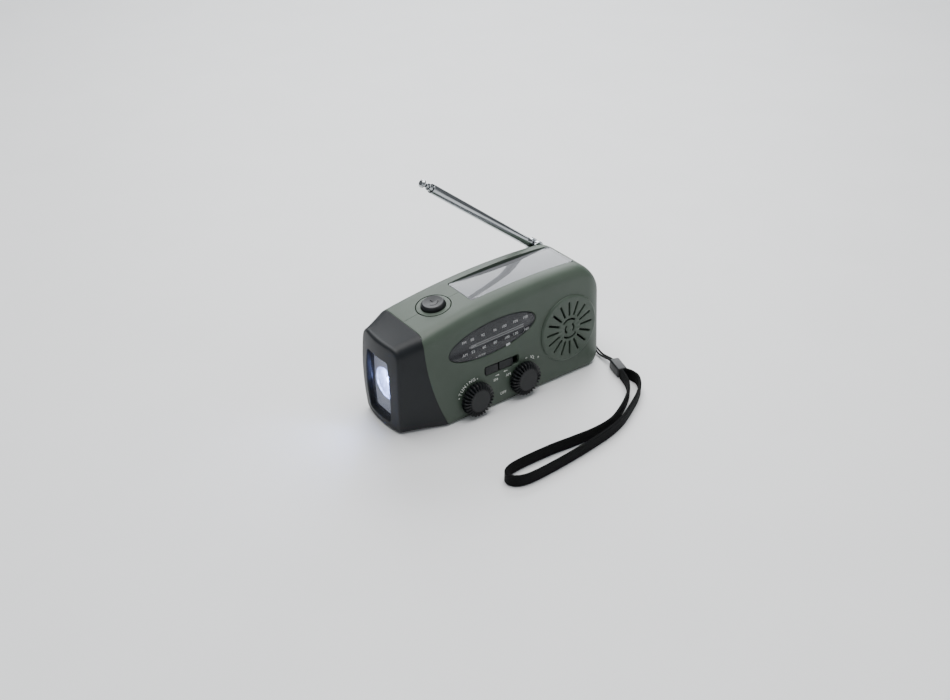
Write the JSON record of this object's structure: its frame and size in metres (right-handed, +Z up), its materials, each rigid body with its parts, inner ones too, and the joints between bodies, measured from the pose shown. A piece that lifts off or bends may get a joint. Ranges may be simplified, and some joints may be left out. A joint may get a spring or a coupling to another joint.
{
  "type": "emergency radio",
  "caption": "Pocket emergency radio with solar roof, fold-away dynamo crank, torch end, telescopic antenna, dial and knobs, and a wrist strap.",
  "frame": {"origin": "centre of the underside of the case, in the plane it stands on", "axes": "+X along the case towards the speaker end (the torch is at -X), +Y from the dial face to the back, +Z up"},
  "size_m": [0.1307, 0.108, 0.111],
  "materials": {
    "green_shell": "fine sparked texture",
    "dark_hood": "fine sparked texture",
    "black_plastic": "satin",
    "clear_plastic": "polished, clear",
    "reflector": "bright metallised plastic",
    "led_clear": "clear epoxy",
    "solar_cell": "dark laminated cell",
    "smoke_window": "tinted, polished",
    "dial_print": "printed plate",
    "white_plastic": "satin",
    "chrome": "bright plated",
    "steel": "zinc plated",
    "board": "solder mask",
    "gear_plastic": "moulded acetal",
    "ferrite": "matt",
    "copper_wire": "enamelled",
    "battery_sleeve": "shrink sleeve",
    "cone_paper": "pressed paper",
    "rubber": "matt",
    "webbing": "woven polyester"
  },
  "bodies": {
    "case": {"front_shell": "green_shell", "back_shell": "green_shell", "torch_hood": "dark_hood", "battery_cover": "green_shell", "case_screw_1": "steel", "case_screw_2": "steel", "case_screw_3": "steel", "case_screw_4": "steel", "torch_lens": "clear_plastic", "torch_reflector": "reflector", "torch_led_1": "led_clear", "torch_led_2": "led_clear", "torch_led_3": "led_clear", "solar_window": "clear_plastic", "solar_cell": "solar_cell", "lamp_plate": "green_shell", "lamp_switch": "black_plastic", "dial_window": "smoke_window", "dial_scale": "dial_print", "dial_cord": "webbing", "tuning_capacitor": "white_plastic", "volume_control": "steel", "band_switch": "steel", "main_board": "board", "speaker_frame": "steel", "speaker_cone": "cone_paper", "speaker_magnet": "steel", "battery_cell": "battery_sleeve", "ferrite_rod": "ferrite", "ferrite_coil": "copper_wire", "usb_port": "steel", "charge_port": "steel", "dynamo": "steel", "gear_plate": "steel", "strap_pin": "steel", "strap_cord": "webbing", "strap_bead": "black_plastic", "strap_loop": "webbing"},
    "tuning": {"tuning_knob": "black_plastic", "tuning_drum": "gear_plastic"},
    "pointer": {"dial_pointer": "white_plastic"},
    "pulley_1": {"dial_pulley_1": "gear_plastic"},
    "pulley_2": {"dial_pulley_2": "gear_plastic"},
    "pulley_3": {"dial_pulley_3": "gear_plastic"},
    "volume": {"volume_knob": "black_plastic"},
    "band": {"band_slider": "black_plastic"},
    "lamp": {"lamp_button": "black_plastic"},
    "crank": {"crank_arm": "black_plastic", "crank_gear": "gear_plastic"},
    "step": {"step_gear": "gear_plastic"},
    "rotor": {"dynamo_pinion": "gear_plastic"},
    "stem": {"crank_stem": "steel"},
    "grip": {"crank_grip": "black_plastic"},
    "mast_base": {"antenna_base": "chrome", "antenna_pin": "chrome"},
    "mast": {"antenna_tube_1": "chrome"},
    "mast_2": {"antenna_tube_2": "chrome"},
    "mast_3": {"antenna_tube_3": "chrome"},
    "mast_tip": {"antenna_rod": "chrome"},
    "port_flap": {"port_cover": "rubber"}
  },
  "joints": [
    {"name": "tuning_turn", "type": "hinge", "parent": "case", "child": "tuning", "pos_m": [-0.0226, -0.02238, 0.00967], "axis": [0, -0.9968, 0.0801], "range_deg": [-52.38, 191.53]},
    {"name": "pointer_slide", "type": "slide", "parent": "case", "child": "pointer", "axis": [0.9994, 0.0028, 0.0348], "range_m": [-0.0234, 0.0064]},
    {"name": "pulley_1_spin", "type": "hinge", "parent": "case", "child": "pulley_1", "pos_m": [-0.0271, -0.02011, 0.03794], "axis": [0, -0.9968, 0.0801], "range_deg": [-147.68, 537.29]},
    {"name": "pulley_2_spin", "type": "hinge", "parent": "case", "child": "pulley_2", "pos_m": [0.0119, -0.02, 0.0393], "axis": [0, -0.9968, 0.0801], "range_deg": [-147.68, 537.29]},
    {"name": "pulley_3_spin", "type": "hinge", "parent": "case", "child": "pulley_3", "pos_m": [0.0119, -0.02274, 0.00518], "axis": [0, -0.9968, 0.0801], "range_deg": [-147.68, 537.29]},
    {"name": "volume_turn", "type": "hinge", "parent": "case", "child": "volume", "pos_m": [0.0076, -0.02233, 0.01027], "axis": [0, -0.9968, 0.0801], "range_deg": [-150, 120]},
    {"name": "band_slide", "type": "slide", "parent": "case", "child": "band", "axis": [1, 0, 0], "range_m": [0, 0.0036]},
    {"name": "lamp_press", "type": "slide", "parent": "case", "child": "lamp", "axis": [0.1637, 0, -0.9865], "range_m": [0, 0.0012], "stiffness_N_per_m": 400},
    {"name": "crank_turn", "type": "hinge", "parent": "case", "child": "crank", "pos_m": [-0.006, 0, 0.0285], "axis": [0, 1, 0], "continuous": true},
    {"name": "step_gear_spin", "type": "hinge", "parent": "case", "child": "step", "pos_m": [-0.02339, 0, 0.03316], "axis": [0, 1, 0], "continuous": true},
    {"name": "dynamo_spin", "type": "hinge", "parent": "case", "child": "rotor", "pos_m": [-0.03842, 0, 0.02769], "axis": [0, 1, 0], "continuous": true},
    {"name": "grip_fold", "type": "hinge", "parent": "crank", "child": "stem", "pos_m": [0.0126, 0.0169, 0.0285], "axis": [0, 0, -1], "range_deg": [0, 90]},
    {"name": "grip_spin", "type": "hinge", "parent": "stem", "child": "grip", "pos_m": [0.0126, 0.0169, 0.0285], "axis": [1, 0, 0], "continuous": true},
    {"name": "antenna_swivel", "type": "hinge", "parent": "case", "child": "mast_base", "pos_m": [0.0485, 0.0214, 0.0549], "axis": [0, 0, 1], "range_deg": [-180, 0]},
    {"name": "antenna_tilt", "type": "hinge", "parent": "mast_base", "child": "mast", "pos_m": [0.0485, 0.0214, 0.0549], "axis": [0, 1, 0], "range_deg": [-37.5, 52.5]},
    {"name": "antenna_slide_1", "type": "slide", "parent": "mast", "child": "mast_2", "axis": [-0.7934, 0, 0.6088], "range_m": [0, 0.062]},
    {"name": "antenna_slide_2", "type": "slide", "parent": "mast_2", "child": "mast_3", "axis": [-0.7934, 0, 0.6088], "range_m": [0, 0.062]},
    {"name": "antenna_slide_3", "type": "slide", "parent": "mast_3", "child": "mast_tip", "axis": [-0.7934, 0, 0.6088], "range_m": [0, 0.062]},
    {"name": "port_cover_hinge", "type": "hinge", "parent": "case", "child": "port_flap", "pos_m": [0.0243, 0.02052, 0.03289], "axis": [0, -0.0801, 0.9968], "range_deg": [0, 110]}
  ],
  "couplings": [
    {"joint": "pointer_slide", "follows": "tuning_turn", "m_per_rad": -0.007},
    {"joint": "pulley_1_spin", "follows": "tuning_turn", "ratio": 2.8},
    {"joint": "pulley_2_spin", "follows": "tuning_turn", "ratio": 2.8},
    {"joint": "pulley_3_spin", "follows": "tuning_turn", "ratio": 2.8},
    {"joint": "step_gear_spin", "follows": "crank_turn", "ratio": -3.5},
    {"joint": "dynamo_spin", "follows": "crank_turn", "ratio": 10.5}
  ]
}
